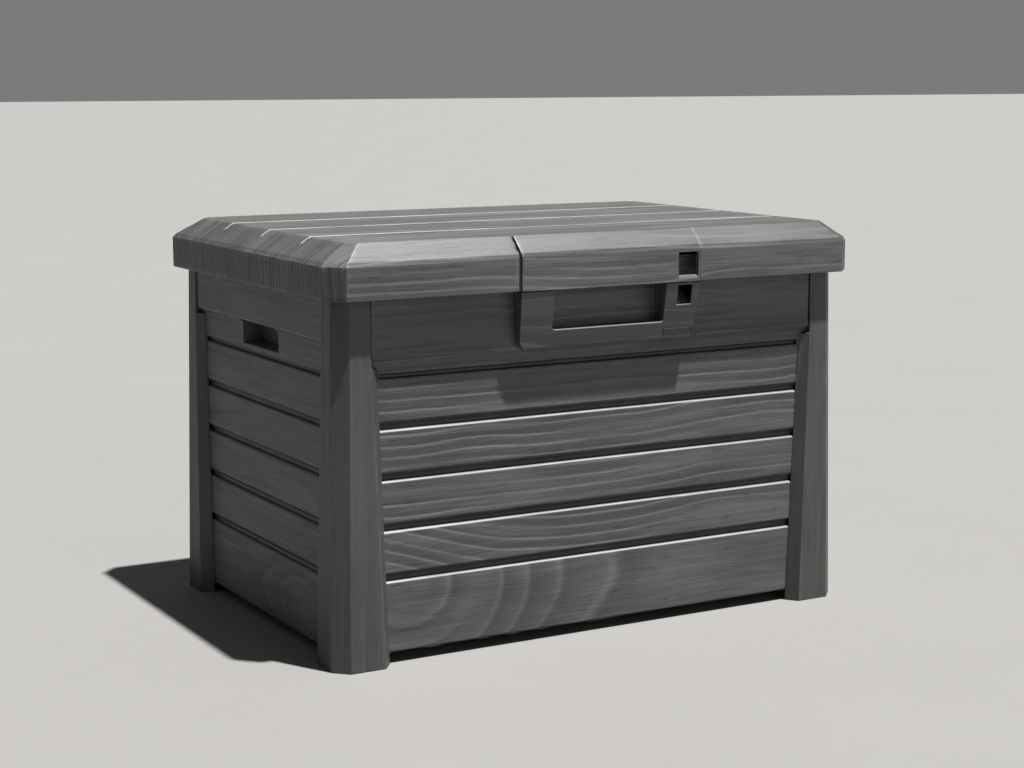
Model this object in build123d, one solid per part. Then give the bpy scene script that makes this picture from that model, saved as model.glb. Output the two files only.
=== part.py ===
"""Moulded resin deck storage box with a hinged lid, built piece by piece. Millimetres, +Z up."""
from build123d import *
import os

os.makedirs("parts", exist_ok=True)

# --- overall sizes -----------------------------------------------------------
LID_L = 730.0            # lid length, along X
LID_W = 504.0            # lid width, along Y
TOTAL_H = 487.0          # floor to lid top
WALL = 2.4               # moulded wall thickness

# --- lid ---------------------------------------------------------------------
SKIRT_H = 40.5           # vertical skirt height
TOP_RISE = 22.5          # height of the bevelled part
LID_CORNER = 21.5        # 45 degree chamfer on the skirt's vertical corners
BEVEL_SIDE = 34.0        # bevel run at the two ends
BEVEL_FRONT = 22.0       # bevel run at the front
BEVEL_BACK = 36.0        # bevel run at the back
PLANK_PITCH = 117.0      # spacing of the three grooves in the lid top
PLANK_SHIFT = -10.0      # Y of the middle groove
PLANK_GROOVES = 3
PLANK_GROOVE_W = 7.0
PLANK_GROOVE_D = 2.6
PLANK_RUNOUT = 12.0      # how far a plank groove runs down the side bevel
RUNOUT_D = 1.5           # groove depth on the bevel
LATTICE_INSET = 12.0     # liner lattice inside the edge of the flat top
LID_RIB = 1.8            # lattice rib thickness in the lid liner
LINER_T = 2.2            # lid liner thickness
LINER_GAP = 0.3          # closed lid liner above the wall rims
LID_RIBS_X = 4           # ribs parallel to Y
LID_RIBS_Y = 4           # ribs parallel to X

# --- base ----------------------------------------------------------------------
OVERHANG_X = 16.0        # lid edge to post face, ends
OVERHANG_Y = 17.0        # lid edge to post face, front and back
FLARE = 7.0              # posts lean outward by this much at the floor
POST_CHAMFER = 17.0      # outer corner chamfer of a post
SLAT_INSET = 8.5         # slat plane behind the post face at the top
BAND_INSET = 1.5         # upper band behind the post face at the top
RIM_INSIDE = 28.0        # how far the walls rise inside the lid skirt
PANEL_GAP = 13.0         # panel bottoms above the floor
SLATS = 5
GROOVE_TOP_DROP = 89.0   # topmost slat groove below the skirt
SLAT_PITCH = 58.6        # slat groove spacing
GROOVE_D = 4.5           # slat groove depth
GROOVE_SILL = 5.0        # groove section, measured from its centre line
GROOVE_LOW = 2.0
GROOVE_HIGH = 1.5
GROOVE_ROOF = 7.0
GROOVE_ROOF_TOP = 3.0    # the topmost groove has a short roof
SLAT_EASE = 2.0          # eased lower edge of the lowest slat
FRONT_UNDERCUT = 9.0     # height of the sloping underside of the front and back bands
SIDE_UNDERCUT = 6.0      # height of the sloping underside of an end band
FRONT_BAND_DROP = 67.0   # lower edge of the front band below the skirt
SIDE_BAND_DROP = 49.0    # lower edge of the end band below the skirt
LIP_OUT = 1.6            # lip at the foot of the front band
LIP_FACE = 0.8
LIP_RISE = 6.5
POST_FRONT_TOP = 42.2    # post width on the front, at the band
POST_FRONT_FOOT = 61.0   # post face width on the front, at the floor
POST_SIDE_TOP = 41.0     # post width on the end, at the band
POST_SIDE_FOOT = 58.0    # post face width on the end, at the floor
FLANK_RUN = 12.0         # run of a post's slanted inner flank
KNEE = 3.0               # height over which a flank dies out under a band
POST_BLOCK = 31.0        # inner corner block, measured from the post face
POST_TOP_DROP = 2.0      # posts stop this far below the wall rims
SEAM = 1.0               # gap between band and post
TONGUE_LAP = 12.0        # how far a panel's end tongue laps behind its band
FUSE = 0.5               # overlap that joins two blocks of one piece
CUT = 1.0                # how far a cutter runs past a face
OVERLAP = 0.01           # sliver by which stacked cutters overlap
LEDGE_W = 14.0           # floor-support ledge width
LEDGE_T = 4.0
LEDGE_RISE = 3.0         # ledge above the panel bottom
FLOOR_FIT = 0.5          # play between floor tray and walls
FLOOR_T = 3.2
FLOOR_RIBS = 5
FLOOR_RIB_H = 6.0
FLOOR_RIB_T = 2.0

# --- grip bezel, lid cover and padlock slots ----------------------------------
GRIP_HALF = 124.0        # half width of bezel and cover
GRIP_OUT = 2.0           # bezel face in front of the skirt face
COVER_OUT = 3.0          # cover face in front of the skirt face
GRIP_DROP = 72.0         # bezel bottom below the skirt
GRIP_PART = 0.8          # parting gap between bezel and closed lid
GRIP_ROUND = 16.0        # bezel lower corner radius
GRIP_SLOPE = 11.0        # bezel face leans back by this much towards its foot
GRIP_TAPER = 3.0         # bezel sides lean in by this much towards its foot
GRIP_EASE = 4.5          # eased lower edge of the bezel face
GRIP_WEB = 9.0           # web behind the bezel's padlock slot, from the face
CHANNEL_W = 1.8          # shadow channel in the lid beside its cover
CHANNEL_D = 1.4
GRIP_OPEN = (-79.0, 76.0)
GRIP_OPEN_DROP = 47.5    # bottom of the finger recess below the skirt
GRIP_OPEN_ROUND = 4.0    # lower corner radius of the finger recess
LOCK_LID = (92.5, 120.5) # padlock slot in lid cover and skirt, X
LOCK_LID_Z = (4.0, 35.5) # above the skirt's lower edge
LOCK_BASE = (93.5, 113.5)
LOCK_BASE_Z = (27.5, 4.0) # below the skirt's lower edge
LOCK_SILL = 4.0

# --- hand holes --------------------------------------------------------------------
HAND_Y = 2.0             # centre of the hand hole along the end panel
HAND_W = 109.0
HAND_DROP = (80.0, 50.5) # lower and upper edge below the skirt
CUP_DEPTH = 27.0
CUP_WALL = 2.5

# --- hinges ------------------------------------------------------------------------
HINGE_X_FRACTION = 0.27  # hinge centre from the middle, as a share of lid length
HINGE_HALF = 26.0
HINGE_PIN_D = 5.0
HINGE_CLEAR = 0.05       # radial running clearance in the lid knuckle
KNUCKLE_R = 7.0
KNUCKLE_HALF = 12.0
KNUCKLE_GAP = 0.4
HINGE_DROP = 10.0        # pin axis below the skirt's lower edge
PLATE_T = 4.0
BRACKET_H = 40.0
SCREW_D = 4.0
SCREW_HEAD_D = 8.0
SCREW_HEAD_T = 2.2
SCREW_SPREAD = 16.0      # hinge screws each side of the hinge centre
BRACKET_SCREW_DROP = 22.0
LEAF_SCREW_RISE = 14.0
LEAF_SCREW_BITE = 1.6    # leaf screws into the skirt
BRACKET_RISE = 3.0       # bracket plate above the pin axis
HINGE_STANDOFF = 7.0     # pin axis behind the post face
PIN_HEAD = 2.0           # pin head length
PIN_HEAD_OVER = 1.5      # pin head radius over the pin's
BRIM_SHARE = 0.12        # share of the bevel taken by the eased brim
BRIM_DROP = 2.4          # eased brim below the skirt's top
TOP_CORNER_SHARE = 0.55  # top corner cut as a share of the skirt's corner cut

# --- derived -----------------------------------------------------------------------
LX, LY = LID_L / 2, LID_W / 2
SKIRT_Z0 = TOTAL_H - TOP_RISE - SKIRT_H
SKIRT_Z1 = TOTAL_H - TOP_RISE
HX_TOP, HY_TOP = LX - OVERHANG_X, LY - OVERHANG_Y
SLAT_X, SLAT_Y = HX_TOP - SLAT_INSET, HY_TOP - SLAT_INSET
BAND_X, BAND_Y = HX_TOP - BAND_INSET, HY_TOP - BAND_INSET
RIM_Z = SKIRT_Z0 + RIM_INSIDE
FRONT_BAND_Z = SKIRT_Z0 - FRONT_BAND_DROP
SIDE_BAND_Z = SKIRT_Z0 - SIDE_BAND_DROP
GROOVES = [SKIRT_Z0 - GROOVE_TOP_DROP - k * SLAT_PITCH for k in range(SLATS)]
BLOCK_X, BLOCK_Y = HX_TOP - POST_BLOCK, HY_TOP - POST_BLOCK
SEAM_X, SEAM_Y = HX_TOP - POST_FRONT_TOP, HY_TOP - POST_SIDE_TOP
HINGE_Y = HY_TOP + HINGE_STANDOFF
HINGE_Z = SKIRT_Z0 - HINGE_DROP
HINGE_XS = [-LID_L * HINGE_X_FRACTION, LID_L * HINGE_X_FRACTION]
LEDGE_Z = PANEL_GAP + LEDGE_RISE
FLOOR_Z = LEDGE_Z + LEDGE_T
LINER_Z = RIM_Z + LINER_GAP


def block(x0, x1, y0, y1, z0, z1):
    """Axis-aligned box from its limits."""
    size = Box(abs(x1 - x0), abs(y1 - y0), abs(z1 - z0))
    return Pos((x0 + x1) / 2, (y0 + y1) / 2, (z0 + z1) / 2) * size


def prism(points, length, direction):
    """Extrude a closed polygon of 3-D points."""
    return extrude(make_face(Polyline(*points, close=True)), amount=length, dir=direction)


def prism_x(yz, x0, x1):
    return prism([(x0, y, z) for y, z in yz], x1 - x0, (1, 0, 0))


def prism_y(xz, y0, y1):
    return prism([(x, y0, z) for x, z in xz], y1 - y0, (0, 1, 0))


def frustum(low, z_low, high, z_high):
    """Ruled solid between two polygons of equal vertex count."""
    faces = [make_face(Polyline(*[(x, y, z) for x, y in ring], close=True))
             for ring, z in ((low, z_low), (high, z_high))]
    return loft(faces, ruled=True)


def inset_ring(ring, t):
    """Move every edge of a counter-clockwise polygon inward by t."""
    result = []
    count = len(ring)
    for i in range(count):
        (ax, ay), (bx, by), (cx, cy) = ring[i - 1], ring[i], ring[(i + 1) % count]
        ux, uy = bx - ax, by - ay
        vx, vy = cx - bx, cy - by
        ul, vl = (ux * ux + uy * uy) ** 0.5, (vx * vx + vy * vy) ** 0.5
        ux, uy, vx, vy = ux / ul, uy / ul, vx / vl, vy / vl
        px, py = bx - uy * t, by + ux * t
        qx, qy = bx - vy * t, by + vx * t
        k = ((qx - px) * vy - (qy - py) * vx) / (ux * vy - uy * vx)
        result.append((px + ux * k, py + uy * k))
    return result


def lid_ring(inset_sides, inset_front, inset_back, corner):
    """Octagonal outline of the lid, counter-clockwise."""
    x, y0, y1, c = LX - inset_sides, -LY + inset_front, LY - inset_back, corner
    return [(-x + c, y0), (x - c, y0), (x, y0 + c), (x, y1 - c),
            (x - c, y1), (-x + c, y1), (-x, y1 - c), (-x, y0 + c)]


def panel_outline(slat, band, band_z, undercut, lip):
    """Cross-section of a wall panel as (distance outward, height)."""
    t = WALL
    root = slat - GROOVE_D
    outer = [(slat - SLAT_EASE, PANEL_GAP), (slat, PANEL_GAP + SLAT_EASE)]
    inner = [(slat - t, PANEL_GAP)]
    for k in reversed(range(SLATS)):
        g = GROOVES[k]
        roof = g + (GROOVE_ROOF_TOP if k == 0 else GROOVE_ROOF)
        outer += [(slat, g - GROOVE_SILL), (root, g - GROOVE_LOW), (root, g + GROOVE_HIGH), (slat, roof)]
        inner += [(slat - t, g - GROOVE_SILL - t), (root - t, g - GROOVE_LOW - 0.8 * t),
                  (root - t, g + GROOVE_HIGH + 0.8 * t), (slat - t, roof + 0.4 * t)]
    outer += [(slat, band_z - undercut), (band + lip, band_z)]
    if lip:
        outer += [(band + lip, band_z + LIP_FACE), (band, band_z + LIP_RISE)]
    outer += [(band, RIM_Z)]
    inner += [(slat - t, band_z - undercut + t), (band - t, band_z + 1.6 * t), (band - t, RIM_Z)]
    return outer + inner[::-1]


def long_panel(sign, lip):
    """Front (sign -1) or back (sign +1) wall panel."""
    outline = panel_outline(SLAT_Y, BAND_Y, FRONT_BAND_Z, FRONT_UNDERCUT, lip)
    edge = SEAM_X - SEAM
    body = prism_x([(sign * w, z) for w, z in outline], -edge, edge)
    for side in (-1, 1):
        body += block(side * (edge - TONGUE_LAP), side * BLOCK_X, sign * (SLAT_Y - WALL),
                      sign * SLAT_Y, PANEL_GAP, RIM_Z)
        body += block(side * (edge - WALL), side * edge, sign * (SLAT_Y - WALL),
                      sign * (BAND_Y - FUSE), FRONT_BAND_Z + 2 * FUSE, RIM_Z)
    ledge = SLAT_Y - WALL - LEDGE_W
    body += block(-BLOCK_X, BLOCK_X, sign * ledge, sign * (SLAT_Y - FUSE), LEDGE_Z, FLOOR_Z)
    return body


def floor_screw_points():
    """Fastening points of the floor, (x, y)."""
    y = SLAT_Y - WALL - LEDGE_W / 2
    x = SLAT_X - WALL - LEDGE_W / 2
    rows = [(sx * LID_L * f, sy * y) for f in (0.1, 0.3) for sx in (-1, 1) for sy in (-1, 1)]
    ends = [(sx * x, sy * LID_W * 0.2) for sx in (-1, 1) for sy in (-1, 1)]
    return rows + ends


def cut_floor_holes(body):
    for x, y in floor_screw_points():
        body -= Pos(x, y, FLOOR_Z) * Cylinder(SCREW_D / 2, 4 * LEDGE_T)
    return body


def front_panel():
    body = long_panel(-1, LIP_OUT)
    x0, x1 = GRIP_OPEN
    z0 = SKIRT_Z0 - GRIP_OPEN_DROP
    body += block(x0 - WALL, x1 + WALL, -BAND_Y + FUSE, -SLAT_Y + WALL, z0 - WALL, RIM_Z)
    body -= block(x0, x1, -BAND_Y - CUT, -SLAT_Y, z0, SKIRT_Z0 + CUT)
    low = SKIRT_Z0 - GRIP_DROP
    body -= block(-GRIP_HALF, GRIP_HALF, -BAND_Y - 2 * LIP_OUT, -BAND_Y, low, low + 2 * LIP_RISE)
    return cut_floor_holes(body)


def back_panel():
    body = long_panel(1, 0.0)
    body -= hinge_screw_holes(BAND_Y)
    return cut_floor_holes(body)


def end_panel(sign):
    """Left (sign -1) or right (sign +1) wall panel with its hand hole."""
    outline = panel_outline(SLAT_X, BAND_X, SIDE_BAND_Z, SIDE_UNDERCUT, 0.0)
    edge = SEAM_Y - SEAM
    body = prism_y([(sign * w, z) for w, z in outline], -edge, edge)
    for side in (-1, 1):
        body += block(sign * (SLAT_X - WALL), sign * SLAT_X, side * (edge - TONGUE_LAP),
                      side * BLOCK_Y, PANEL_GAP, RIM_Z)
        body += block(sign * (SLAT_X - WALL), sign * (BAND_X - FUSE), side * (edge - WALL),
                      side * edge, SIDE_BAND_Z + 2 * FUSE, RIM_Z)
    ledge = SLAT_X - WALL - LEDGE_W
    body += block(sign * ledge, sign * (SLAT_X - FUSE), -BLOCK_Y, BLOCK_Y, LEDGE_Z, FLOOR_Z)
    z0, z1 = SKIRT_Z0 - HAND_DROP[0], SKIRT_Z0 - HAND_DROP[1]
    y0, y1 = HAND_Y - HAND_W / 2, HAND_Y + HAND_W / 2
    body -= block(sign * (SLAT_X - CUP_DEPTH), sign * (SLAT_X + CUP_DEPTH), y0, y1, z0, z1)
    return cut_floor_holes(body)


def handle_cup(sign):
    """Closed pocket behind a hand hole."""
    z0, z1 = SKIRT_Z0 - HAND_DROP[0], SKIRT_Z0 - HAND_DROP[1]
    y0, y1 = HAND_Y - HAND_W / 2, HAND_Y + HAND_W / 2
    face = SLAT_X - WALL
    c = CUP_WALL
    body = block(sign * (face - CUP_DEPTH), sign * face, y0 - c, y1 + c, z0 - c, z1 + c)
    body -= block(sign * (face - CUP_DEPTH + c), sign * (face + CUT), y0, y1, z0, z1)
    return body


def post_ring(z, front_flank, side_flank):
    """Post section at height z for the corner at +X +Y, counter-clockwise."""
    lean = FLARE * (1.0 - z / SKIRT_Z0)
    hx, hy = HX_TOP + lean, HY_TOP + lean
    f = POST_FRONT_TOP + (POST_FRONT_FOOT - POST_FRONT_TOP) * (1.0 - z / FRONT_BAND_Z)
    s = POST_SIDE_TOP + (POST_SIDE_FOOT - POST_SIDE_TOP) * (1.0 - z / SIDE_BAND_Z)
    fx = hx - f if front_flank else SEAM_X
    fe = fx - FLANK_RUN if front_flank else SEAM_X
    sy = hy - s if side_flank else SEAM_Y
    se = sy - FLANK_RUN if side_flank else SEAM_Y
    return [(hx, sy), (hx, hy - POST_CHAMFER), (hx - POST_CHAMFER, hy), (fx, hy), (fe, SLAT_Y),
            (BLOCK_X, SLAT_Y), (BLOCK_X, BLOCK_Y), (SLAT_X, BLOCK_Y), (SLAT_X, se)]


def corner_post():
    """Hollow corner post at +X +Y, open at the foot and closed at the top."""
    knee_f, knee_s = FRONT_BAND_Z - FRONT_UNDERCUT, SIDE_BAND_Z - SIDE_UNDERCUT
    top = RIM_Z - POST_TOP_DROP
    levels = [(0.0, True, True), (knee_f - KNEE, True, True), (knee_f, False, True),
              (knee_s - KNEE, False, True), (knee_s, False, False), (top, False, False)]
    body = None
    for (z0, *flanks0), (z1, *flanks1) in zip(levels, levels[1:]):
        piece = frustum(post_ring(z0, *flanks0), z0, post_ring(z1, *flanks1), z1)
        body = piece if body is None else body + piece
    turn = knee_f - KNEE - WALL
    low = inset_ring(post_ring(0.0, True, True), WALL)
    high = inset_ring(post_ring(turn, True, True), WALL)
    body -= frustum(low, -OVERLAP, high, turn)
    z2 = top - WALL
    low = inset_ring(post_ring(turn, False, False), WALL)
    high = inset_ring(post_ring(z2, False, False), WALL)
    body -= frustum(low, turn - OVERLAP, high, z2)
    return body


def base_floor():
    """Floor tray resting on the wall ledges, ribbed below."""
    fx, fy = SLAT_X - WALL - FLOOR_FIT, SLAT_Y - WALL - FLOOR_FIT
    body = block(-fx, fx, -fy, fy, FLOOR_Z, FLOOR_Z + FLOOR_T)
    for sx in (-1, 1):
        for sy in (-1, 1):
            body -= block(sx * BLOCK_X, sx * LX, sy * BLOCK_Y, sy * LY, 0.0, TOTAL_H)
    rx, ry = SLAT_X - WALL - LEDGE_W - FLOOR_FIT, SLAT_Y - WALL - LEDGE_W - FLOOR_FIT
    z0 = FLOOR_Z - FLOOR_RIB_H
    for k in range(FLOOR_RIBS):
        x = -rx + 2 * rx * (k + 0.5) / FLOOR_RIBS
        body += block(x - FLOOR_RIB_T / 2, x + FLOOR_RIB_T / 2, -ry, ry, z0, FLOOR_Z)
        y = -ry + 2 * ry * (k + 0.5) / FLOOR_RIBS
        body += block(-rx, rx, y - FLOOR_RIB_T / 2, y + FLOOR_RIB_T / 2, z0, FLOOR_Z)
    for x, y in floor_screw_points():
        body -= Pos(x, y, FLOOR_Z) * Cylinder(SCREW_D / 2, 2 * (FLOOR_T - 1.0))
    return body


def floor_screws():
    """Self-tapping screws up through the ledges into the floor tray."""
    screws = []
    for x, y in floor_screw_points():
        shank_h = LEDGE_T + FLOOR_T - 1.0
        shank = Pos(x, y, LEDGE_Z + shank_h / 2) * Cylinder(SCREW_D / 2, shank_h)
        head = Pos(x, y, LEDGE_Z - SCREW_HEAD_T / 2) * Cylinder(SCREW_HEAD_D / 2, SCREW_HEAD_T)
        screws.append(shank + head)
    return Compound([screw.solid() for screw in screws])


def bezel_section(t):
    """Cross-section of the bezel as (y, z), or of its hollow with wall thickness t."""
    z0, z1 = SKIRT_Z0 - GRIP_DROP + t, SKIRT_Z0 - GRIP_PART - t
    top = LY + GRIP_OUT - t
    foot = top - GRIP_SLOPE
    back = BAND_Y - CUT if t else BAND_Y
    return [(-back, z0), (GRIP_EASE - foot, z0), (-foot, z0 + GRIP_EASE), (-top, z1), (-back, z1)]


def grip_bezel():
    """U-shaped proud frame around the finger recess, hollow behind, with its padlock slot."""
    z0, z1 = SKIRT_Z0 - GRIP_DROP, SKIRT_Z0 - GRIP_PART
    face, foot_half = LY + GRIP_OUT, GRIP_HALF - GRIP_TAPER
    outline = [(-GRIP_HALF, z1), (-foot_half, z0), (foot_half, z0), (GRIP_HALF, z1)]
    body = prism_y(outline, -face, -BAND_Y)
    low = [e for e in body.edges().filter_by(Axis.Y) if e.center().Z < z0 + CUT]
    body = fillet(low, GRIP_ROUND) & prism_x(bezel_section(0.0), -GRIP_HALF, GRIP_HALF)
    ox0, ox1 = GRIP_OPEN
    oz = SKIRT_Z0 - GRIP_OPEN_DROP
    recess = block(ox0, ox1, -face - CUT, -BAND_Y + CUT, oz, z1 + CUT)
    recess_low = [e for e in recess.edges().filter_by(Axis.Y) if e.center().Z < oz + CUT]
    body -= fillet(recess_low, GRIP_OPEN_ROUND)
    t = WALL
    corner = foot_half - GRIP_ROUND
    core = block(t - foot_half, ox0 - t, -face, 0, z0 + GRIP_ROUND, z1)
    core += block(ox1 + t, foot_half - t, -face, 0, z0 + GRIP_ROUND, z1)
    core += block(-corner, corner, -face, 0, z0, oz - t)
    body -= core & prism_x(bezel_section(t), -GRIP_HALF, GRIP_HALF)
    web = GRIP_WEB - face
    body += block(ox1 + t - FUSE, foot_half - t + FUSE, web, web + t, z0 + GRIP_ROUND - FUSE, z1 - t + FUSE)
    a, b = LOCK_BASE
    drop_low, drop_high = LOCK_BASE_Z
    slot_back = -face + t + GRIP_SLOPE / 2
    body -= block(a, b, -face - CUT, slot_back, SKIRT_Z0 - drop_low, SKIRT_Z0 - drop_high)
    body -= block(a, b, -face + t + CUT, -BAND_Y - 2 * t, z1 - t - CUT, z1 + CUT)
    return body


def lid_outer():
    """Closed outer form of the lid: skirt, eased brim and bevelled cap."""
    ring = lid_ring(0.0, 0.0, 0.0, LID_CORNER)
    top_ring = lid_ring(BEVEL_SIDE, BEVEL_FRONT, BEVEL_BACK, LID_CORNER * TOP_CORNER_SHARE)
    f = BRIM_SHARE
    mid = [(ax + (bx - ax) * f, ay + (by - ay) * f) for (ax, ay), (bx, by) in zip(ring, top_ring)]
    z_low, z_mid = SKIRT_Z1 - BRIM_DROP, SKIRT_Z1 + TOP_RISE * f
    body = frustum(ring, SKIRT_Z0, ring, z_low)
    body += frustum(ring, z_low, mid, z_mid)
    return body + frustum(mid, z_mid, top_ring, TOTAL_H)


def lid_shell():
    """Lid skin: bevelled top with plank grooves, skirt below."""
    body = lid_outer()
    t = WALL
    in_ring = lid_ring(t, t, t, LID_CORNER - 0.3 * t)
    top_in = lid_ring(BEVEL_SIDE + 1.5 * t, BEVEL_FRONT + 1.5 * t, BEVEL_BACK + 1.5 * t, LID_CORNER * 0.5)
    z_in = SKIRT_Z1 - 0.4 * t
    body -= frustum(in_ring, SKIRT_Z0 - CUT, in_ring, z_in)
    body -= frustum(in_ring, z_in - OVERLAP, top_in, TOTAL_H - t)
    run = LX - BEVEL_SIDE
    slope = (TOP_RISE ** 2 + BEVEL_SIDE ** 2) ** 0.5
    dx, dz = BEVEL_SIDE / slope, TOP_RISE / slope
    for k in range(PLANK_GROOVES):
        y = PLANK_SHIFT + (k - (PLANK_GROOVES - 1) / 2) * PLANK_PITCH
        w = PLANK_GROOVE_W
        d, e = PLANK_GROOVE_D, OVERLAP
        body += block(-run + 2 * t, run - 2 * t, y - w / 2 - t, y + w / 2 + t, TOTAL_H - d - t, TOTAL_H - FUSE)
        z_top, z_root = TOTAL_H + e, TOTAL_H - d
        vee = [(y - w / 2, z_top), (y - w / 4, z_root), (y + w / 4, z_root), (y + w / 2, z_top)]
        body -= prism_x(vee, -run - d, run + d)
        for side in (-1, 1):
            r, h = PLANK_RUNOUT, RUNOUT_D
            pts = [(run - e * dx, TOTAL_H + e * dz), (run + r * dx, TOTAL_H - r * dz),
                   (run + r * dx - h * dz, TOTAL_H - r * dz - h * dx), (run - h * dz, TOTAL_H - h * dx)]
            body -= prism_y([(side * px, pz) for px, pz in pts], y - w / 2, y + w / 2)
    body -= lock_cut(-LY - CUT, -LY + t + CUT)
    for side in (-1, 1):
        body -= cover_channel(side)
    body -= lid_screw_holes(LY - t, LEAF_SCREW_BITE)
    return body


def cover_channel(side):
    """Cutter for the shadow channel that runs beside the cover, up the skirt and the bevel."""
    y, d, f = LY, CHANNEL_D, BRIM_SHARE
    z_low, z_mid = SKIRT_Z1 - BRIM_DROP, SKIRT_Z1 + TOP_RISE * f
    root = [(d - y, SKIRT_Z0 - CUT), (d - y, z_low), (BEVEL_FRONT * f + d - y, z_mid - d / 2),
            (BEVEL_FRONT - y, TOTAL_H - d), (BEVEL_FRONT - y, TOTAL_H + CUT)]
    x0, x1 = sorted((side * GRIP_HALF, side * (GRIP_HALF + CHANNEL_W)))
    return prism_x(root + [(-y - CUT, TOTAL_H + CUT), (-y - CUT, SKIRT_Z0 - CUT)], x0, x1)


def lock_cut(y0, y1):
    """Padlock slot through the lid front, with a sloping sill."""
    a, b = LOCK_LID
    z0, z1 = SKIRT_Z0 + LOCK_LID_Z[0], SKIRT_Z0 + LOCK_LID_Z[1]
    return block(a, b, y0, y1, z0 + LOCK_SILL, z1)


def lid_front_cover():
    """Raised cover on the lid front; its slot floor slopes outward."""
    o, y, f = COVER_OUT, LY, BRIM_SHARE
    z_low, z_mid = SKIRT_Z1 - BRIM_DROP, SKIRT_Z1 + TOP_RISE * f
    outline = [(-y, SKIRT_Z0), (-y - o, SKIRT_Z0), (-y - o, z_low + 0.5 * o),
               (-y - o + BEVEL_FRONT * f, z_mid + 0.5 * o), (-y + BEVEL_FRONT - o, TOTAL_H),
               (-y + BEVEL_FRONT, TOTAL_H), (-y + BEVEL_FRONT * f, z_mid), (-y, z_low)]
    body = prism_x(outline, -GRIP_HALF, GRIP_HALF)
    body -= lock_cut(-y - o - CUT, -y + CUT)
    a, b = LOCK_LID
    z0 = SKIRT_Z0 + LOCK_LID_Z[0]
    e = OVERLAP
    sill = [(-y + e, z0 + LOCK_SILL + e), (-y - o - e, z0 + LOCK_SILL + e), (-y - o - e, z0)]
    body -= prism_x(sill, a, b)
    return body


def lid_liner():
    """Inner panel closing the lid from below, with a stiffening lattice above it."""
    t = WALL
    ring = lid_ring(t, t, t, LID_CORNER - 0.3 * t)
    body = frustum(ring, LINER_Z, ring, LINER_Z + LINER_T)
    a, b = LOCK_LID
    body -= block(a - t, b + t, -LY, -BAND_Y, LINER_Z - CUT, LINER_Z + LINER_T + CUT)
    z1 = TOTAL_H - t
    low = LINER_Z + LINER_T - FUSE
    g = LATTICE_INSET
    rx, ry0, ry1 = LX - BEVEL_SIDE - g, -LY + BEVEL_FRONT + g, LY - BEVEL_BACK - g
    lattice = None
    for k in range(LID_RIBS_X):
        x = -rx + 2 * rx * (k + 0.5) / LID_RIBS_X
        rib = block(x - LID_RIB / 2, x + LID_RIB / 2, ry0, ry1, low, z1)
        lattice = rib if lattice is None else lattice + rib
    for k in range(LID_RIBS_Y):
        y = ry0 + (ry1 - ry0) * (k + 0.5) / LID_RIBS_Y
        lattice += block(-rx, rx, y - LID_RIB / 2, y + LID_RIB / 2, low, z1)
    for k in range(PLANK_GROOVES):
        y = PLANK_SHIFT + (k - (PLANK_GROOVES - 1) / 2) * PLANK_PITCH
        half = PLANK_GROOVE_W / 2 + t
        lattice -= block(-LX, LX, y - half, y + half, TOTAL_H - PLANK_GROOVE_D - t, TOTAL_H)
    return body + lattice


def bracket_screw_points(cx):
    z = HINGE_Z - BRACKET_SCREW_DROP
    return [(cx - SCREW_SPREAD, z), (cx + SCREW_SPREAD, z)]


def leaf_screw_points(cx):
    z = SKIRT_Z0 + LEAF_SCREW_RISE
    return [(cx - SCREW_SPREAD, z), (cx + SCREW_SPREAD, z)]


def rod_y(x, z, r, y0, y1):
    """Cylinder along Y."""
    return Pos(x, (y0 + y1) / 2, z) * Rot(90, 0, 0) * Cylinder(r, abs(y1 - y0))


def rod_x(x0, x1, r):
    """Cylinder along the hinge line."""
    return Pos((x0 + x1) / 2, HINGE_Y, HINGE_Z) * Rot(0, 90, 0) * Cylinder(r, abs(x1 - x0))


def hinge_screw_holes(face):
    holes = None
    for cx in HINGE_XS:
        for x, z in bracket_screw_points(cx):
            rod = rod_y(x, z, SCREW_D / 2, face - WALL - CUT, face + CUT)
            holes = rod if holes is None else holes + rod
    return holes


def lid_screw_holes(face, depth):
    holes = None
    for cx in HINGE_XS:
        for x, z in leaf_screw_points(cx):
            rod = rod_y(x, z, SCREW_D / 2, face - CUT, face + depth)
            holes = rod if holes is None else holes + rod
    return holes


def hinge_bracket(cx):
    """Base half of a hinge: plate on the back panel with two bored ears."""
    y0, y1 = BAND_Y, BAND_Y + PLATE_T
    top = HINGE_Z + BRACKET_RISE
    body = block(cx - HINGE_HALF, cx + HINGE_HALF, y0, y1, top - BRACKET_H, top)
    for side in (-1, 1):
        a, b = cx + side * (KNUCKLE_HALF + KNUCKLE_GAP), cx + side * HINGE_HALF
        body += rod_x(min(a, b), max(a, b), KNUCKLE_R)
        body += block(a, b, y0, HINGE_Y, HINGE_Z - KNUCKLE_R, top)
    free = KNUCKLE_HALF + KNUCKLE_GAP
    body -= block(cx - free, cx + free, y0 - CUT, HINGE_Y, HINGE_Z - KNUCKLE_R - CUT, top + CUT)
    body -= rod_x(cx - HINGE_HALF - CUT, cx + HINGE_HALF + CUT, HINGE_PIN_D / 2)
    for x, z in bracket_screw_points(cx):
        body -= rod_y(x, z, SCREW_D / 2, y0 - CUT, y1 + CUT)
    return body


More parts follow.
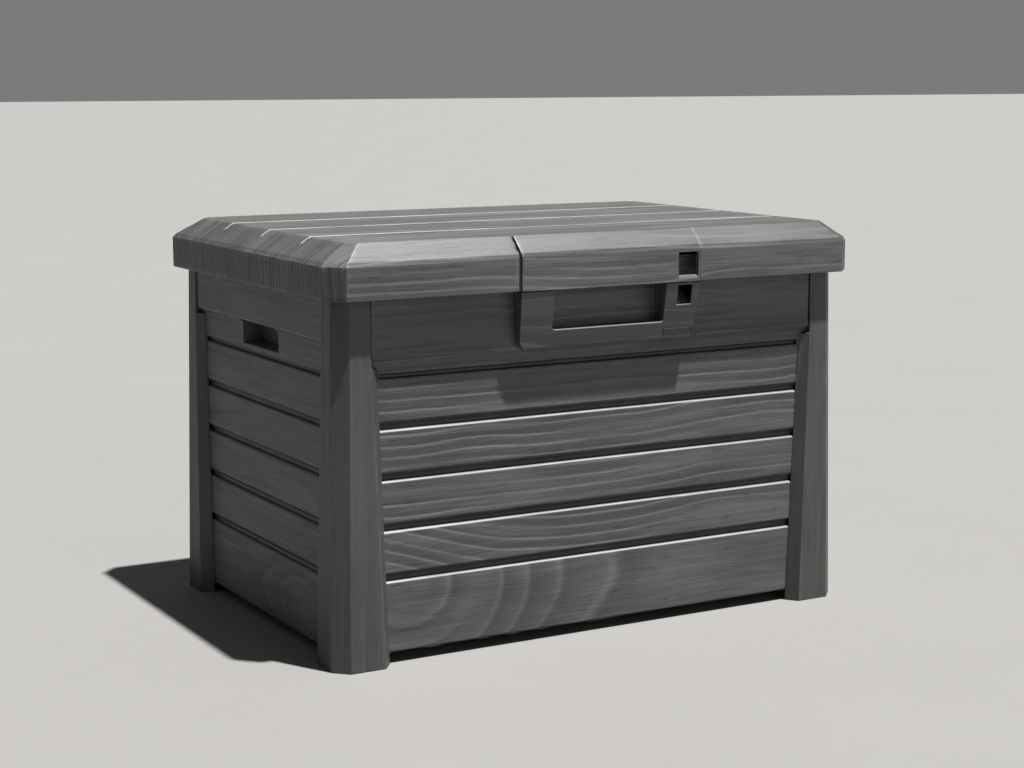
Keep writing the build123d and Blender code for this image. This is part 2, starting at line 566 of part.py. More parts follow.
def hinge_leaf(cx):
    """Lid half of a hinge: knuckle with a plate inside the skirt."""
    y1 = LY - WALL
    y0 = y1 - PLATE_T
    body = block(cx - HINGE_HALF, cx + HINGE_HALF, y0, y1, SKIRT_Z0 + CUT, RIM_Z - POST_TOP_DROP)
    body += block(cx - KNUCKLE_HALF, cx + KNUCKLE_HALF, y0, y1, HINGE_Z, SKIRT_Z0 + 2 * CUT)
    body += rod_x(cx - KNUCKLE_HALF, cx + KNUCKLE_HALF, KNUCKLE_R)
    body -= rod_x(cx - KNUCKLE_HALF - CUT, cx + KNUCKLE_HALF + CUT, HINGE_PIN_D / 2 + HINGE_CLEAR)
    for x, z in leaf_screw_points(cx):
        body -= rod_y(x, z, SCREW_D / 2, y0 - CUT, y1 + CUT)
    return body


def hinge_pin(cx):
    """Steel pin fixed in the bracket ears."""
    body = rod_x(cx - HINGE_HALF, cx + HINGE_HALF, HINGE_PIN_D / 2)
    return body + rod_x(cx - HINGE_HALF - PIN_HEAD, cx - HINGE_HALF, HINGE_PIN_D / 2 + PIN_HEAD_OVER)


def bracket_screws():
    screws = []
    y1 = BAND_Y + PLATE_T
    for cx in HINGE_XS:
        for x, z in bracket_screw_points(cx):
            shank = rod_y(x, z, SCREW_D / 2, BAND_Y - WALL, y1)
            screws.append(shank + rod_y(x, z, SCREW_HEAD_D / 2, y1, y1 + SCREW_HEAD_T))
    return Compound([screw.solid() for screw in screws])


def leaf_screws():
    screws = []
    y0 = LY - WALL - PLATE_T
    for cx in HINGE_XS:
        for x, z in leaf_screw_points(cx):
            shank = rod_y(x, z, SCREW_D / 2, y0, LY - WALL + LEAF_SCREW_BITE)
            screws.append(shank + rod_y(x, z, SCREW_HEAD_D / 2, y0 - SCREW_HEAD_T, y0))
    return Compound([screw.solid() for screw in screws])


POST = corner_post()
parts = {
    "base_floor": base_floor(),
    "front_panel": front_panel(),
    "back_panel": back_panel(),
    "left_panel": end_panel(-1),
    "right_panel": end_panel(1),
    "post_back_right": POST,
    "post_back_left": mirror(POST, about=Plane.YZ),
    "post_front_right": mirror(POST, about=Plane.XZ),
    "post_front_left": mirror(mirror(POST, about=Plane.XZ), about=Plane.YZ),
    "grip_bezel": grip_bezel(),
    "handle_cup_left": handle_cup(-1),
    "handle_cup_right": handle_cup(1),
    "hinge_bracket_left": hinge_bracket(HINGE_XS[0]),
    "hinge_bracket_right": hinge_bracket(HINGE_XS[1]),
    "hinge_pin_left": hinge_pin(HINGE_XS[0]),
    "hinge_pin_right": hinge_pin(HINGE_XS[1]),
    "bracket_screws": bracket_screws(),
    "floor_screws": floor_screws(),
    "lid_shell": lid_shell(),
    "lid_liner": lid_liner(),
    "lid_front_cover": lid_front_cover(),
    "hinge_leaf_left": hinge_leaf(HINGE_XS[0]),
    "hinge_leaf_right": hinge_leaf(HINGE_XS[1]),
    "leaf_screws": leaf_screws(),
}

# the cover stands proud at the front only, so the whole box moves back by half of that
for name, solid in parts.items():
    export_step(Pos(0, COVER_OUT / 2, 0) * solid, f"parts/{name}.step")
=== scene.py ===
"""Looks of the deck storage box: wood-grained resin skins with real relief and rounded edges,
plain inner mouldings, steel screws and pins, and a plain studio. Metres, +Z up."""
import math

import bmesh
import bpy
import numpy as np
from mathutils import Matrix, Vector


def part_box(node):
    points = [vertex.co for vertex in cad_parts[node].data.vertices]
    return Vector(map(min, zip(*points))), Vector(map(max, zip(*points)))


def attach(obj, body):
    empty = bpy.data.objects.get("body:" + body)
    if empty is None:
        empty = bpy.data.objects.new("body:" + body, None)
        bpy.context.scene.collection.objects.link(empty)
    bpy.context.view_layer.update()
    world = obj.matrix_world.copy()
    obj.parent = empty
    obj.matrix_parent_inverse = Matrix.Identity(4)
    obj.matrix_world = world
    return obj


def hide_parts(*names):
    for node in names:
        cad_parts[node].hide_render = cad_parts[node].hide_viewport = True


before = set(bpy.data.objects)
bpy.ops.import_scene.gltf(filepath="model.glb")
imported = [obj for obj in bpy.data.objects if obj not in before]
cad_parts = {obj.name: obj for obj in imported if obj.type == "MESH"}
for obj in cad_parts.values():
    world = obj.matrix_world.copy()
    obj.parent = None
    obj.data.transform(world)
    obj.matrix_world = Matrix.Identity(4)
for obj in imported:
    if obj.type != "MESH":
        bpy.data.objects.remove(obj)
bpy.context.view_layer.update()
MM = 0.001

# --- where things are ------------------------------------------------------------------
X, Y, Z = 0, 1, 2
SLATS = 5
SLAT_PITCH = 58.6 * MM
GROOVE_DROP = 89 * MM            # centre line of the walls' topmost groove, below the lid's skirt
PLANK_SHIFT = 1.5 * MM           # the lid's boards are set this far back of its middle
PLANK_EDGES = [y * MM + PLANK_SHIFT for y in (-127, -10, 107)]
PLANK_HALF = 3.6 * MM            # half the width of a groove between two boards of the lid
POST_SKIN = 28 * MM              # the outer skin of a post is within this of its outer faces
top_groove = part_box("lid_shell")[0].z - GROOVE_DROP

# --- looks, all in metres ------------------------------------------------------------
WELD = 2e-6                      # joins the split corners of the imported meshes
FLAT_TURN = math.radians(0.6)    # faces that turn less than this are joined into one
SHARP = math.radians(30)         # an edge turning more than this is rounded
ROUND_OUTER = 0.9 * MM           # edge radius of the big mouldings
ROUND_GRIP = 1.0 * MM            # edge radius of the finger grip
ROUND_SMALL = 0.5 * MM           # edge radius of small mouldings
ROUND_METAL = 0.15 * MM
COARSE = (8.0 * MM, 1.5 * MM)    # relief mesh, along and across the grain
FINE = (4.0 * MM, 1.1 * MM)      # the same on the front, where the figure is seen from near
RELIEF = 0.45 * MM               # depth of the embossing
MOST_RELIEF = 1.2                # deepest place, as a share of RELIEF
PLAIN_RISE = 0.6                 # height that faces without relief have for the colour, in which lower parts get painted shade
FACES_OUT = 0.12                 # least share of a normal that counts as facing a side
STEEP, UPRIGHT, LEVEL = 0.45, 0.3, 0.93    # limits on a normal's Z for slopes, walls and tops
LEANS_X = 0.35                   # least share of a normal's X on the lid's ends
GROOVE_FAR_WALL = -0.2           # Y of a normal on the wall of a lid groove that faces the front; this wall gets a painted highlight
BEZEL_SILL = 0.6                 # least Z of a normal on the bezel's sills, which get a painted highlight
RIM_AWAY = 0.2                   # the skirt's outer faces look outward from at least this far
GROOVE_REACH = (-6 * MM, 8 * MM)           # a wall groove's sill and roof, from its centre line
GROOVE_ROOT = (-2.2 * MM, 1.7 * MM)
UV_SHIFT = (0.173, 0.071)        # moves the grain of each board by its seed
NOISE_CELLS = 64
LONG_SWAY = (0.22, 0.15, 0.80)   # wave along, wave across, rings moved
SHORT_SWAY = (0.085, 0.05, 0.22)
BEND_SOFT = 0.03                 # over this length a bend becomes straight
FADE_WAVE = 0.13                 # the ledges come and go over this length
FADE_RINGS = 0.9
FADE_MIDDLE, FADE_SWING, FADE_LEAST = 0.60, 0.95, 0.10
LEDGE_BLUR = 0.70                # half width of a ledge's pale line, in ledge widths


# --- wood figure --------------------------------------------------------------------
def noise(u, v, seed):
    """Smooth value noise from -1 to 1, the same each run."""
    table = np.random.default_rng(seed).uniform(-1.0, 1.0, (NOISE_CELLS, NOISE_CELLS))
    u0, v0 = np.floor(u).astype(int), np.floor(v).astype(int)
    fu, fv = u - u0, v - v0
    fu, fv = fu ** 3 * (fu * (6 * fu - 15) + 10), fv ** 3 * (fv * (6 * fv - 15) + 10)
    a, b = u0 % NOISE_CELLS, (u0 + 1) % NOISE_CELLS
    c, d = v0 % NOISE_CELLS, (v0 + 1) % NOISE_CELLS
    low = table[a, c] * (1 - fu) + table[b, c] * fu
    high = table[a, d] * (1 - fu) + table[b, d] * fu
    return low * (1 - fv) + high * fv


class Board:
    """How the growth rings run on one board: spacing, width of the bright ledges, sway, and on some
    boards a figure of loops (centre u, v, stretch, reach, first radius) or a bend (its end, slope)."""

    # painted_shade is a tone offset that darkens a whole board's colour: painted shade.
    def __init__(self, seed, pitch=13 * MM, ledge=2.6 * MM, sway=1.0, wave=1.0, contrast=0.62,
                 deep=1.0, painted_shade=0.0, loops=None, bend=None):
        self.seed, self.pitch, self.ledge, self.sway, self.wave = seed, pitch, ledge, sway, wave
        self.contrast, self.deep, self.painted_shade = contrast, deep, painted_shade
        self.loops, self.bend = loops, bend

    def rings(self, u, v):
        """Ring count at u along and v across the grain, arrays in metres."""
        s, w = self.seed, self.wave
        along, across, moved = LONG_SWAY
        wander = moved * noise(u / (along * w) + s, v / across, s)
        along, across, moved = SHORT_SWAY
        wander += moved * noise(u / (along * w), v / across + s, s + 1)
        if self.bend:
            end, slope = self.bend
            v = v - slope * BEND_SOFT * np.logaddexp(0.0, (end - u) / BEND_SOFT)
        count = v / self.pitch + s * 0.37
        if self.loops:
            lu, lv, stretch, reach, first = self.loops
            away = reach * np.tanh((u - lu) / (stretch * reach))
            count = (np.hypot(away, v - lv) - first) / self.pitch
        return count + self.sway * wander

    def relief(self, u, v):
        """Height and tone. Each ring rises slowly to 1, the moulding's own surface, and ends in a
        crisp ledge, which is paler: grain colour, partly a painted highlight of the ledge catching light."""
        count = self.rings(u, v)
        part = count - np.floor(count)
        width = self.ledge / self.pitch
        drop = np.clip(part / width, 0, 1)
        profile = np.where(part < width, 1 - drop * drop * (3 - 2 * drop), (part - width) / (1 - width))
        fade = noise(u / (FADE_WAVE * self.wave), count * FADE_RINGS, self.seed + 2)
        strength = np.clip(FADE_MIDDLE + FADE_SWING * fade, FADE_LEAST, 1.0)
        ledge = np.clip(1 - np.abs(part - 0.5 * width) / (LEDGE_BLUR * width), 0, 1)
        rise = 1 - self.deep * strength * (1 - profile)
        return rise, self.painted_shade + self.contrast * ledge * strength


class Flat:
    """A strip without relief that is only paler (a painted highlight) or darker (painted shade at the root
    of a groove).
    """

    def __init__(self, seed, tone):
        self.seed, self.tone = seed, tone

    def relief(self, u, v):
        return np.ones_like(u), np.full_like(u, self.tone)


class Sill(Flat):
    """The sill below a wall groove: a painted highlight at its outer edge, painted shade at the root."""
    FROM_SHADE_TO_HIGHLIGHT = (3.0 * MM, 4.6 * MM)

    def relief(self, u, v):
        below = (top_groove - v) % SLAT_PITCH
        return np.ones_like(u), np.interp(below, self.FROM_SHADE_TO_HIGHLIGHT, (PAINTED_ROOT_SHADE.tone, self.tone))


# Painted light: a painted highlight on lid groove walls and bezel sills, painted shade at the roots of wall
# grooves, both on the wall sills.
PAINTED_HIGHLIGHT, PAINTED_ROOT_SHADE, SILL_HIGHLIGHT_AND_SHADE = Flat(5, 1.3), Flat(6, -1.7), Sill(7, 1.6)


def slat_index(z):
    """Which course of a wall a height is in: 0 the plain band, then 1 to 5 going down."""
    return 0 if z > top_groove else 1 + min(int((top_groove - z) / SLAT_PITCH), SLATS - 1)


# --- mesh building ---------------------------------------------------------------------
def start_mesh(node):
    """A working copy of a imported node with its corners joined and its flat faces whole."""
    bm = bmesh.new()
    bm.from_mesh(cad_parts[node].data)
    for layers in (bm.loops.layers.uv, bm.loops.layers.float_vector):
        for layer in list(layers.values()):
            layers.remove(layer)
    bmesh.ops.remove_doubles(bm, verts=bm.verts, dist=WELD)
    bmesh.ops.dissolve_limit(bm, angle_limit=FLAT_TURN, verts=bm.verts, edges=bm.edges)
    return bm


def round_edges(bm, radius, segments=2):
    """Rounds every sharp edge, and marks the rounds of the outer edges, where hands rub."""
    worn = bm.faces.layers.int.new("worn")
    sharp = [e for e in bm.edges if e.is_manifold and e.calc_face_angle(0.0) > SHARP]
    made = bmesh.ops.bevel(bm, geom=sharp, offset=radius, offset_type="OFFSET", segments=segments,
                           profile=0.5, affect="EDGES", clamp_overlap=False, miter_outer="SHARP")
    for face in made["faces"]:
        middle = face.calc_center_median()
        beside = [other for edge in face.edges for other in edge.link_faces if other is not face]
        lift = sum(face.normal.dot(other.calc_center_median() - middle) for other in beside)
        face[worn] = 1 if lift < 0 else 0
    return worn


def slice_faces(bm, faces, axis, planes):
    """Cuts the faces along planes square to an axis, halving the work each time."""
    if not planes or not faces:
        return faces
    middle = len(planes) // 2
    normal = Vector((0, 0, 0))
    normal[axis] = 1.0
    point = normal * planes[middle]
    edges = {e for f in faces for e in f.edges}
    verts = {v for f in faces for v in f.verts}
    cut = bmesh.ops.bisect_plane(bm, geom=list(faces) + list(edges) + list(verts), dist=1e-7,
                                 plane_co=point, plane_no=normal)
    faces = [g for g in cut["geom"] if isinstance(g, bmesh.types.BMFace)]
    low = [f for f in faces if f.calc_center_median()[axis] < planes[middle]]
    high = [f for f in faces if f.calc_center_median()[axis] >= planes[middle]]
    return slice_faces(bm, low, axis, planes[:middle]) + slice_faces(bm, high, axis, planes[middle + 1:])


def planes_between(low, high, step):
    count = max(int((high - low) / step), 1)
    return [low + (high - low) * (k + 0.5) / count for k in range(count)]


def grid_faces(bm, faces, along, across, steps):
    """Divides faces finely across the grain and coarsely along it. along and across are axes."""
    for axis, step in zip((along, across), steps):
        if not faces:
            return
        places = [v.co[axis] for f in faces for v in f.verts]
        faces = slice_faces(bm, faces, axis, planes_between(min(places), max(places), step))


def skin(node, body, material, outward, lay, radius=ROUND_OUTER, steps=COARSE):
    """Replaces a packed moulding with a rounded one whose outer faces carry the grain's relief.

    outward(centre, normal) says if a face is on the outer skin. lay(centre, normal) gives its board,
    the axis that the grain follows and the axis across it.
    """
    bm = start_mesh(node)
    worn = round_edges(bm, radius)
    groups = {}
    for face in bm.faces:
        centre, normal = face.calc_center_median(), face.normal
        board, along, across = lay(centre, normal)
        if outward(centre, normal) and isinstance(board, Board):
            groups.setdefault((along, across), []).append(face)
    for (along, across), faces in groups.items():
        grid_faces(bm, faces, along, across, steps)
    bm.normal_update()
    uv = bm.loops.layers.uv.new("grain")
    count = len(bm.verts)
    bm.verts.index_update()
    height, ledge, shares = np.zeros(count), np.zeros(count), np.zeros(count)
    wear = np.zeros(count)
    work = {}
    for face in bm.faces:
        centre, normal = face.calc_center_median(), face.normal
        board, along, across = lay(centre, normal)
        is_out = outward(centre, normal)
        for loop in face.loops:
            co = loop.vert.co
            loop[uv].uv = (co[along] + board.seed * UV_SHIFT[0], co[across] + board.seed * UV_SHIFT[1])
            if is_out or isinstance(board, Flat):
                work.setdefault(board, []).append((loop.vert.index, co[along], co[across]))
            if face[worn]:
                wear[loop.vert.index] = 1.0
    for board, rows in work.items():
        rows = np.array(rows)
        where = rows[:, 0].astype(int)
        rise, line = board.relief(rows[:, 1], rows[:, 2])
        np.add.at(height, where, rise)
        np.add.at(ledge, where, line)
        np.add.at(shares, where, 1.0)
    on_skin = shares > 0
    height[on_skin] /= shares[on_skin]
    ledge[on_skin] /= shares[on_skin]
    depth = RELIEF * np.clip(1 - height, 0, MOST_RELIEF)
    for vert in bm.verts:
        if on_skin[vert.index]:
            vert.co -= vert.normal * depth[vert.index]
    mesh = bpy.data.meshes.new(node + "_skin")
    bm.to_mesh(mesh)
    bm.free()
    for name, values in (("rise", np.where(on_skin, height, PLAIN_RISE)), ("ledge", ledge), ("wear", wear)):
        store(mesh, name, values)
    finish_piece(mesh, node + "_skin", node, body, material)


def store(mesh, name, values):
    """Keeps one value per vertex for the materials."""
    mesh.attributes.new(name, "FLOAT", "POINT").data.foreach_set("value", values.astype(np.float32))


def finish_piece(mesh, name, node, body, material):
    """Makes the object, gives it its body, and hides the node that it replaces."""
    mesh.shade_smooth()
    mesh.materials.clear()
    mesh.materials.append(material)
    piece = bpy.data.objects.new(name, mesh)
    bpy.context.scene.collection.objects.link(piece)
    normals = piece.modifiers.new("even_normals", "WEIGHTED_NORMAL")
    normals.keep_sharp = True
    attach(piece, body)
    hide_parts(node)


def plain_piece(node, body, material, radius):
    """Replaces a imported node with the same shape, its edges rounded."""
    bm = start_mesh(node)
    worn = round_edges(bm, radius)
    uv = bm.loops.layers.uv.new("grain")
    wear = np.zeros(len(bm.verts))
    bm.verts.index_update()
    for face in bm.faces:
        n = [abs(x) for x in face.normal]
        main = n.index(max(n))
        along, across = [a for a in (X, Y, Z) if a != main]
        for loop in face.loops:
            loop[uv].uv = (loop.vert.co[along], loop.vert.co[across])
            if face[worn]:
                wear[loop.vert.index] = 1.0
    mesh = bpy.data.meshes.new(node + "_piece")
    bm.to_mesh(mesh)
    bm.free()
    store(mesh, "wear", wear)
    finish_piece(mesh, node + "_piece", node, body, material)


# --- materials --------------------------------------------------------------------------
class Nodes:
    """Small helper to write a node tree."""

    def __init__(self, name, slot):
        self.material = bpy.data.materials.new(name)
        self.material.use_nodes = True
        self.material["slot"] = slot
        self.tree = self.material.node_tree
        self.shader = self.tree.nodes["Principled BSDF"]

    def add(self, kind, inputs=None, **settings):
        node = self.tree.nodes.new("ShaderNode" + kind)
        for key, value in settings.items():
            setattr(node, key, value)
        for key, value in (inputs or {}).items():
            if isinstance(value, bpy.types.NodeSocket):
                self.tree.links.new(value, node.inputs[key])
            else:
                node.inputs[key].default_value = value
        return node

    def link(self, output, key):
        self.tree.links.new(output, self.shader.inputs[key])

    def attribute(self, name):
        return self.add("Attribute", attribute_name=name, attribute_type="GEOMETRY").outputs["Fac"]

    def grain(self, along, across, detail=4.0, rough=0.6, distortion=0.0):
        """Noise stretched along the grain; along and across are its scales per metre."""
        place = self.add("UVMap", uv_map="grain").outputs["UV"]
        scaled = self.add("Mapping", {"Vector": place, "Scale": (along, across, 1.0)}).outputs["Vector"]
        return self.add("TexNoise", {"Vector": scaled, "Scale": 1.0, "Detail": detail,
                                     "Roughness": rough, "Distortion": distortion}).outputs["Fac"]

    def solid(self, scale, detail=3.0, rough=0.5):
        place = self.add("TexCoord").outputs["Object"]
        return self.add("TexNoise", {"Vector": place, "Scale": scale, "Detail": detail,
                                     "Roughness": rough}).outputs["Fac"]

    def span(self, value, low, high, to_low, to_high):
        return self.add("MapRange", {"Value": value, "From Min": low, "From Max": high,
                                     "To Min": to_low, "To Max": to_high}).outputs["Result"]

    def maths(self, operation, a, b):
        node = self.add("Math", operation=operation)
        for socket, value in zip(node.inputs, (a, b)):
            if isinstance(value, bpy.types.NodeSocket):
                self.tree.links.new(value, socket)
            else:
                socket.default_value = value
        return node.outputs[0]

    def ramp(self, value, stops):
        node = self.add("ValToRGB", {"Fac": value})
        elements = node.color_ramp.elements
        while len(elements) < len(stops):
            elements.new(0.5)
        for element, (place, colour) in zip(elements, stops):
            element.position = place
            element.color = (*colour, 1.0)
        return node.outputs["Color"]

    def bump(self, height, distance, strength=1.0, under=None):
        inputs = {"Height": height, "Distance": distance, "Strength": strength}
        if under is not None:
            inputs["Normal"] = under
        return self.add("Bump", inputs).outputs["Normal"]


def grained_resin(name, bright, streaks):
    """Anthracite resin with pressed wood grain: streaky tone, pale ledges that are partly a painted
    highlight, painted highlights and painted shade from the ledge attribute, rubbed edges.

    bright scales its colours (below 1 this is painted shade) and streaks its pattern.
    """
    m = Nodes(name, "resin")
    rise, ledge, wear = (m.attribute(name) for name in ("rise", "ledge", "wear"))
    streak = m.grain(4.5, 34.0, detail=5.0, rough=0.55, distortion=0.7)
    comb = m.grain(6.0, 170.0, detail=3.0, rough=0.6)
    fibre = m.grain(16.0, 520.0, detail=3.0, rough=0.7)
    smudge = m.grain(24.0, 150.0, detail=2.0, rough=0.5)
    # Deeper parts of the embossing are darker: painted shade in its hollows.
    tone = m.maths("ADD", m.span(streak, 0.3, 0.7, -0.12 * streaks, 0.12 * streaks),
                   m.span(rise, 0.0, 1.0, -0.12, 0.08))
    tone = m.maths("ADD", tone, m.span(comb, 0.3, 0.7, -0.07 * streaks, 0.07 * streaks))
    tone = m.maths("ADD", tone, m.span(fibre, 0.3, 0.7, -0.04 * streaks, 0.04 * streaks))
    tone = m.maths("ADD", tone, m.span(smudge, 0.60, 0.70, 0.0, -0.14 * streaks))
    tone = m.maths("ADD", tone, m.span(m.solid(5.0), 0.3, 0.7, -0.05, 0.05))
    # ledge adds the pale ring ledges (grain, partly a painted highlight), painted highlights on sills and
    # groove walls, and painted shade at groove roots.
    tone = m.maths("ADD", tone, m.maths("MULTIPLY", ledge, 0.38))
    rubbed = m.maths("MULTIPLY", wear, m.span(m.solid(38.0), 0.35, 0.65, 0.1, 0.55))
    tone = m.maths("ADD", m.maths("ADD", tone, 0.40), m.maths("MULTIPLY", rubbed, 0.35))
    stops = ((0.0, (0.008, 0.008, 0.008)), (0.40, (0.040, 0.040, 0.0405)),
             (0.70, (0.078, 0.078, 0.078)), (1.0, (0.150, 0.149, 0.147)))
    m.link(m.ramp(tone, [(place, [bright * c for c in colour]) for place, colour in stops]), "Base Color")
    rough = m.maths("ADD", m.span(fibre, 0.3, 0.7, 0.47, 0.60), m.maths("MULTIPLY", rubbed, -0.10))
    m.link(rough, "Roughness")
    lines = m.bump(comb, 0.6 * MM, 0.5 * streaks)
    fine = m.bump(fibre, 0.5 * MM, 0.6 * streaks, lines)
    m.link(m.bump(m.solid(1400.0, 2.0), 0.06 * MM, 0.5, fine), "Normal")
    return m.material


def inner_resin():
    """Smooth inner mouldings: even grey with a fine moulded texture and faint flow marks."""
    m = Nodes("inner_resin", "resin_inner")
    flow = m.solid(9.0, 4.0, 0.6)
    wear = m.attribute("wear")
    tone = m.maths("ADD", m.span(flow, 0.3, 0.7, 0.3, 0.6), m.maths("MULTIPLY", wear, 0.2))
    m.link(m.ramp(tone, [(0.0, (0.045, 0.045, 0.046)), (1.0, (0.095, 0.095, 0.094))]), "Base Color")
    m.link(m.span(m.solid(60.0), 0.3, 0.7, 0.42, 0.58), "Roughness")
    m.link(m.bump(m.solid(900.0, 2.0), 0.08 * MM, 0.5), "Normal")
    return m.material


def hinge_resin():
    """Darker glass-filled resin of the hinges."""
    m = Nodes("hinge_resin", "hinge_resin")
    wear = m.attribute("wear")
    tone = m.maths("ADD", m.span(m.solid(45.0, 4.0), 0.3, 0.7, 0.2, 0.6), m.maths("MULTIPLY", wear, 0.3))
    m.link(m.ramp(tone, [(0.0, (0.014, 0.014, 0.015)), (1.0, (0.050, 0.050, 0.050))]), "Base Color")
    m.link(m.span(m.solid(160.0), 0.3, 0.7, 0.32, 0.5), "Roughness")
    m.link(m.bump(m.solid(1100.0, 2.0), 0.05 * MM, 0.5), "Normal")
    return m.material


def steel():
    """Zinc-plated steel with fine drawing marks and duller edges."""
    m = Nodes("plated_steel", "steel")
    m.shader.inputs["Metallic"].default_value = 1.0
    wear = m.attribute("wear")
    tone = m.maths("SUBTRACT", m.span(m.solid(320.0, 4.0), 0.3, 0.7, 0.35, 0.8),
                   m.maths("MULTIPLY", wear, 0.15))
    m.link(m.ramp(tone, [(0.0, (0.34, 0.33, 0.31)), (1.0, (0.62, 0.61, 0.59))]), "Base Color")
    m.link(m.span(m.solid(700.0), 0.3, 0.7, 0.24, 0.44), "Roughness")
    m.link(m.bump(m.solid(2200.0, 2.0), 0.02 * MM, 0.5), "Normal")
    return m.material


RESIN = grained_resin("grained_resin", bright=1.0, streaks=1.0)
# A darker copy of the same resin, with calmer grain, for the posts and the bezel: painted shade.
CALM_SHADED_RESIN = grained_resin("calm_painted_shade_resin", bright=0.66, streaks=0.6)
INNER, HINGE, STEEL = inner_resin(), hinge_resin(), steel()

# --- the walls ----------------------------------------------------------------------------
FRONT_FIGURES = {
    4: {"bend": (-0.15, 0.32), "sway": 0.6},
    5: {"loops": (-0.260, 0.087, 1.25, 0.20, 0.009), "pitch": 27 * MM, "ledge": 6 * MM, "sway": 0.60}}
BACK_FIGURES = {3: {"loops": (0.20, 0.190, 2.6, 0.060, 0.006)}}
LEFT_FIGURES = {5: {"loops": (-0.10, 0.050, 1.8, 0.060, 0.010), "pitch": 17 * MM, "sway": 0.4}}
RIGHT_FIGURES = {2: {"bend": (0.05, 0.25)}}


def wall(node, axis, side, along, seed, figures, steps=COARSE):
    """A wall's skin: a plain band over five courses, each with its own board."""
    boards = [Board(seed + 11 * k, **figures.get(k, {})) for k in range(SLATS + 1)]

    def outward(centre, normal):
        return normal[axis] * side > FACES_OUT

    def lay(centre, normal):
        nearest = min(max(round((top_groove - centre.z) / SLAT_PITCH), 0), SLATS - 1)
        above = centre.z - top_groove + nearest * SLAT_PITCH
        if normal[axis] * side > 0 and GROOVE_REACH[0] < above < GROOVE_REACH[1]:
            # The sill gets a painted highlight and the root of a groove gets painted shade.
            if normal.z > STEEP:
                return SILL_HIGHLIGHT_AND_SHADE, along, Z
            if normal.z < -STEEP or GROOVE_ROOT[0] < above < GROOVE_ROOT[1]:
                return PAINTED_ROOT_SHADE, along, Z
        return boards[slat_index(centre.z)], along, Z

    return skin(node, "base", RESIN, outward, lay, steps=steps)


wall("front_panel", Y, -1, X, 3, FRONT_FIGURES, FINE)
wall("back_panel", Y, 1, X, 101, BACK_FIGURES)
wall("left_panel", X, -1, Y, 203, LEFT_FIGURES)
wall("right_panel", X, 1, Y, 307, RIGHT_FIGURES)


# --- the posts ------------------------------------------------------------------------------
def post(node, seed):
    """A post's skin, with its grain upright: one board on the long sides and one on the ends."""
    low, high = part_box(node)
    sx = 1 if low.x > 0 else -1
    sy = 1 if low.y > 0 else -1
    edge_x = high.x if sx > 0 else -low.x
    edge_y = high.y if sy > 0 else -low.y
    boards = [Board(seed + k, pitch=24 * MM, ledge=2.5 * MM, wave=2.2, contrast=0.5, deep=0.6)
              for k in (0, 7)]

    def outward(centre, normal):
        out_x = normal.x * sx > FACES_OUT and centre.x * sx > edge_x - POST_SKIN
        out_y = normal.y * sy > FACES_OUT and centre.y * sy > edge_y - POST_SKIN
        return out_x or out_y

    def lay(centre, normal):
        if abs(normal.y) > abs(normal.x):
            return boards[0], Z, X
        return boards[1], Z, Y

    return skin(node, "base", CALM_SHADED_RESIN, outward, lay)


for number, name in enumerate(("post_front_left", "post_front_right", "post_back_left", "post_back_right")):
    post(name, 401 + 31 * number)

# --- the lid ----------------------------------------------------------------------------------
planks = [Board(601 + 13 * k, pitch=19 * MM) for k in range(len(PLANK_EDGES) + 1)]
# The front bevel and the lid's ends are darkened by painted_shade: painted shade.
bevel_front = Board(701, pitch=11 * MM, contrast=0.8, deep=0.4, painted_shade=-0.85)
skirt_front = Board(709, pitch=11 * MM, contrast=0.7, deep=0.6)
rim_ends = Board(733, pitch=9 * MM, sway=1.6, wave=0.6, contrast=1.5, deep=1.3, painted_shade=-0.35)
rim_back = Board(761, pitch=11 * MM, contrast=0.7, deep=0.6)


def lid_lay(centre, normal):
    """Boards of the lid: along X on top and at the front, across the rim at the two ends."""
    in_groove = any(abs(centre.y - y) < PLANK_HALF for y in PLANK_EDGES)
    # The groove wall that faces the front is painted paler: a painted highlight.
    if in_groove and normal.z > UPRIGHT and normal.y < GROOVE_FAR_WALL:
        return PAINTED_HIGHLIGHT, X, Y
    if abs(normal.x) > LEANS_X:
        along = Z if abs(normal.z) < UPRIGHT else X
        return rim_ends, along, Y
    if normal.z > LEVEL:
        return planks[sum(centre.y > y for y in PLANK_EDGES)], X, Y
    if abs(normal.y) > abs(normal.x):
        front = bevel_front if normal.z > UPRIGHT else skirt_front
        return (front if normal.y < 0 else rim_back), X, Z
    return planks[0], X, Y


def lid_outward(centre, normal):
    away = normal.x * centre.x + normal.y * centre.y
    return normal.z > FACES_OUT or (abs(normal.z) < UPRIGHT and away > RIM_AWAY)


def cover_outward(centre, normal):
    return normal.y < -FACES_OUT or normal.z > FACES_OUT


skin("lid_shell", "lid", RESIN, lid_outward, lid_lay)
skin("lid_front_cover", "lid", RESIN, cover_outward, lid_lay)

# --- the grip bezel ------------------------------------------------------------------------------
bezel_board = Board(811, pitch=15 * MM, sway=1.6, contrast=0.5, deep=0.6)


def bezel_outward(centre, normal):
    return normal.y < -FACES_OUT


def bezel_lay(centre, normal):
    # The bezel's sills are painted paler: a painted highlight.
    return (PAINTED_HIGHLIGHT if normal.z > BEZEL_SILL else bezel_board), X, Z


skin("grip_bezel", "base", CALM_SHADED_RESIN, bezel_outward, bezel_lay, ROUND_GRIP)

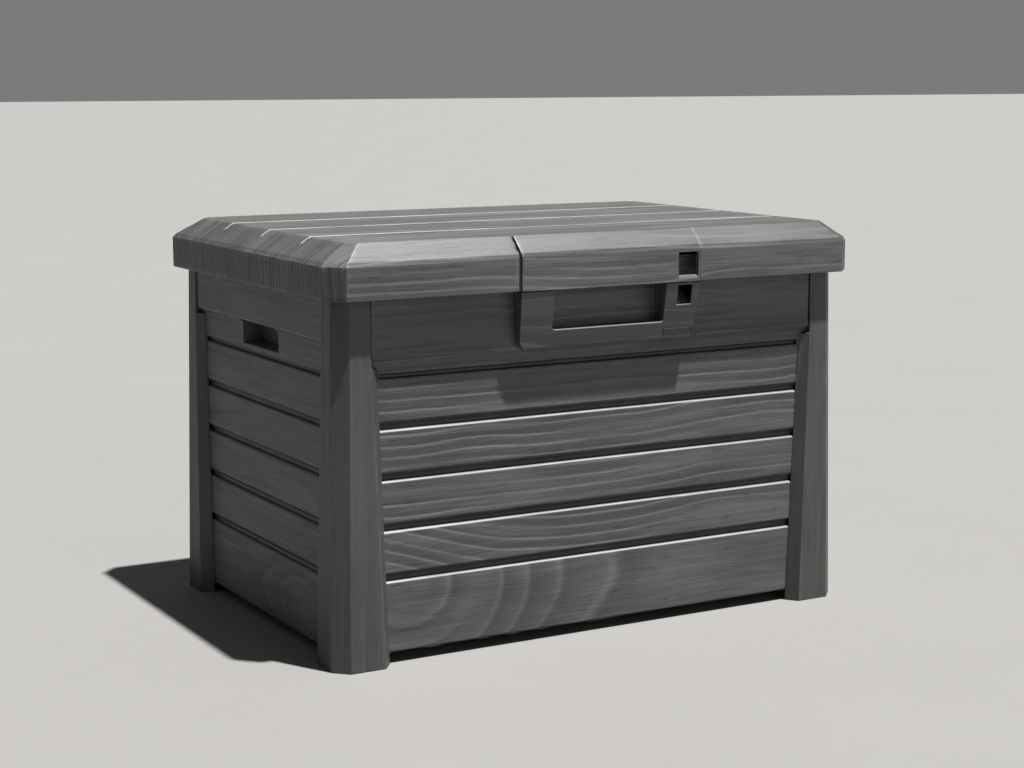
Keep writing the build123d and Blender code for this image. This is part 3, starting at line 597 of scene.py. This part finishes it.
# --- inner mouldings, hinges, screws ----------------------------------------------------------------
PLAIN_PIECES = (
    ("base", INNER, ("base_floor", "handle_cup_left", "handle_cup_right")),
    ("lid", INNER, ("lid_liner",)),
    ("base", HINGE, ("hinge_bracket_left", "hinge_bracket_right")),
    ("lid", HINGE, ("hinge_leaf_left", "hinge_leaf_right")),
    ("base", STEEL, ("hinge_pin_left", "hinge_pin_right", "bracket_screws", "floor_screws")),
    ("lid", STEEL, ("leaf_screws",)))
for body, material, names in PLAIN_PIECES:
    for name in names:
        plain_piece(name, body, material, ROUND_METAL if material is STEEL else ROUND_SMALL)


# --- studio -------------------------------------------------------------------------------------------
def floor_material():
    m = Nodes("pale_floor", "")
    tone = m.span(m.solid(3.0, 5.0), 0.3, 0.7, 0.35, 0.65)
    m.link(m.ramp(tone, [(0.0, (0.126, 0.124, 0.121)), (1.0, (0.142, 0.140, 0.137))]), "Base Color")
    m.link(m.span(m.solid(40.0), 0.3, 0.7, 0.7, 0.85), "Roughness")
    m.link(m.bump(m.solid(260.0, 3.0), 0.15 * MM, 0.4), "Normal")
    return m.material


def make_floor(half=40.0):
    mesh = bpy.data.meshes.new("floor")
    mesh.from_pydata([(-half, -half, 0), (half, -half, 0), (half, half, 0), (-half, half, 0)], [],
                     [(0, 1, 2, 3)])
    mesh.materials.append(floor_material())
    floor = bpy.data.objects.new("floor", mesh)
    bpy.context.scene.collection.objects.link(floor)


LIGHT_COLOUR = (1.0, 0.985, 0.96)
KEY = {"towards": (0.63, -1.0, 4.1), "energy": 13.0, "angle": 1.5}
FILL = {"towards": (0.25, -1.0, 0.12), "energy": 0.6, "angle": 50.0}
SKY_COLOUR = (0.98, 0.99, 1.0, 1.0)
SKY_STRENGTH = 0.20
CAMERA_AT = (-1.25427, -2.20373, 0.67502)
CAMERA_DOWN = 9.01               # degrees below level
CAMERA_TURN = -29.79             # degrees about Z
LENS, SENSOR = 69.65, 36.0


def make_sun(name, towards, energy, angle):
    """A distant light; towards points from the box to the light."""
    sun = bpy.data.lights.new(name, "SUN")
    sun.energy = energy
    sun.angle = math.radians(angle)
    sun.color = LIGHT_COLOUR
    lamp = bpy.data.objects.new(name, sun)
    lamp.rotation_euler = Vector(towards).to_track_quat("Z", "Y").to_euler()
    bpy.context.scene.collection.objects.link(lamp)


def make_light():
    """A high key light from the right and the front, a soft fill from the front, pale surroundings."""
    make_sun("key", **KEY)
    make_sun("fill", **FILL)
    world = bpy.data.worlds.new("studio")
    world.use_nodes = True
    sky = world.node_tree.nodes["Background"]
    sky.inputs["Color"].default_value = SKY_COLOUR
    sky.inputs["Strength"].default_value = SKY_STRENGTH
    bpy.context.scene.world = world


def make_camera():
    data = bpy.data.cameras.new("camera")
    data.sensor_width = SENSOR
    data.lens = LENS
    camera = bpy.data.objects.new("camera", data)
    camera.location = CAMERA_AT
    camera.rotation_euler = (math.radians(90 - CAMERA_DOWN), 0.0, math.radians(CAMERA_TURN))
    bpy.context.scene.collection.objects.link(camera)
    bpy.context.scene.camera = camera


make_floor()
make_light()
make_camera()
bpy.context.scene.view_settings.view_transform = "Standard"
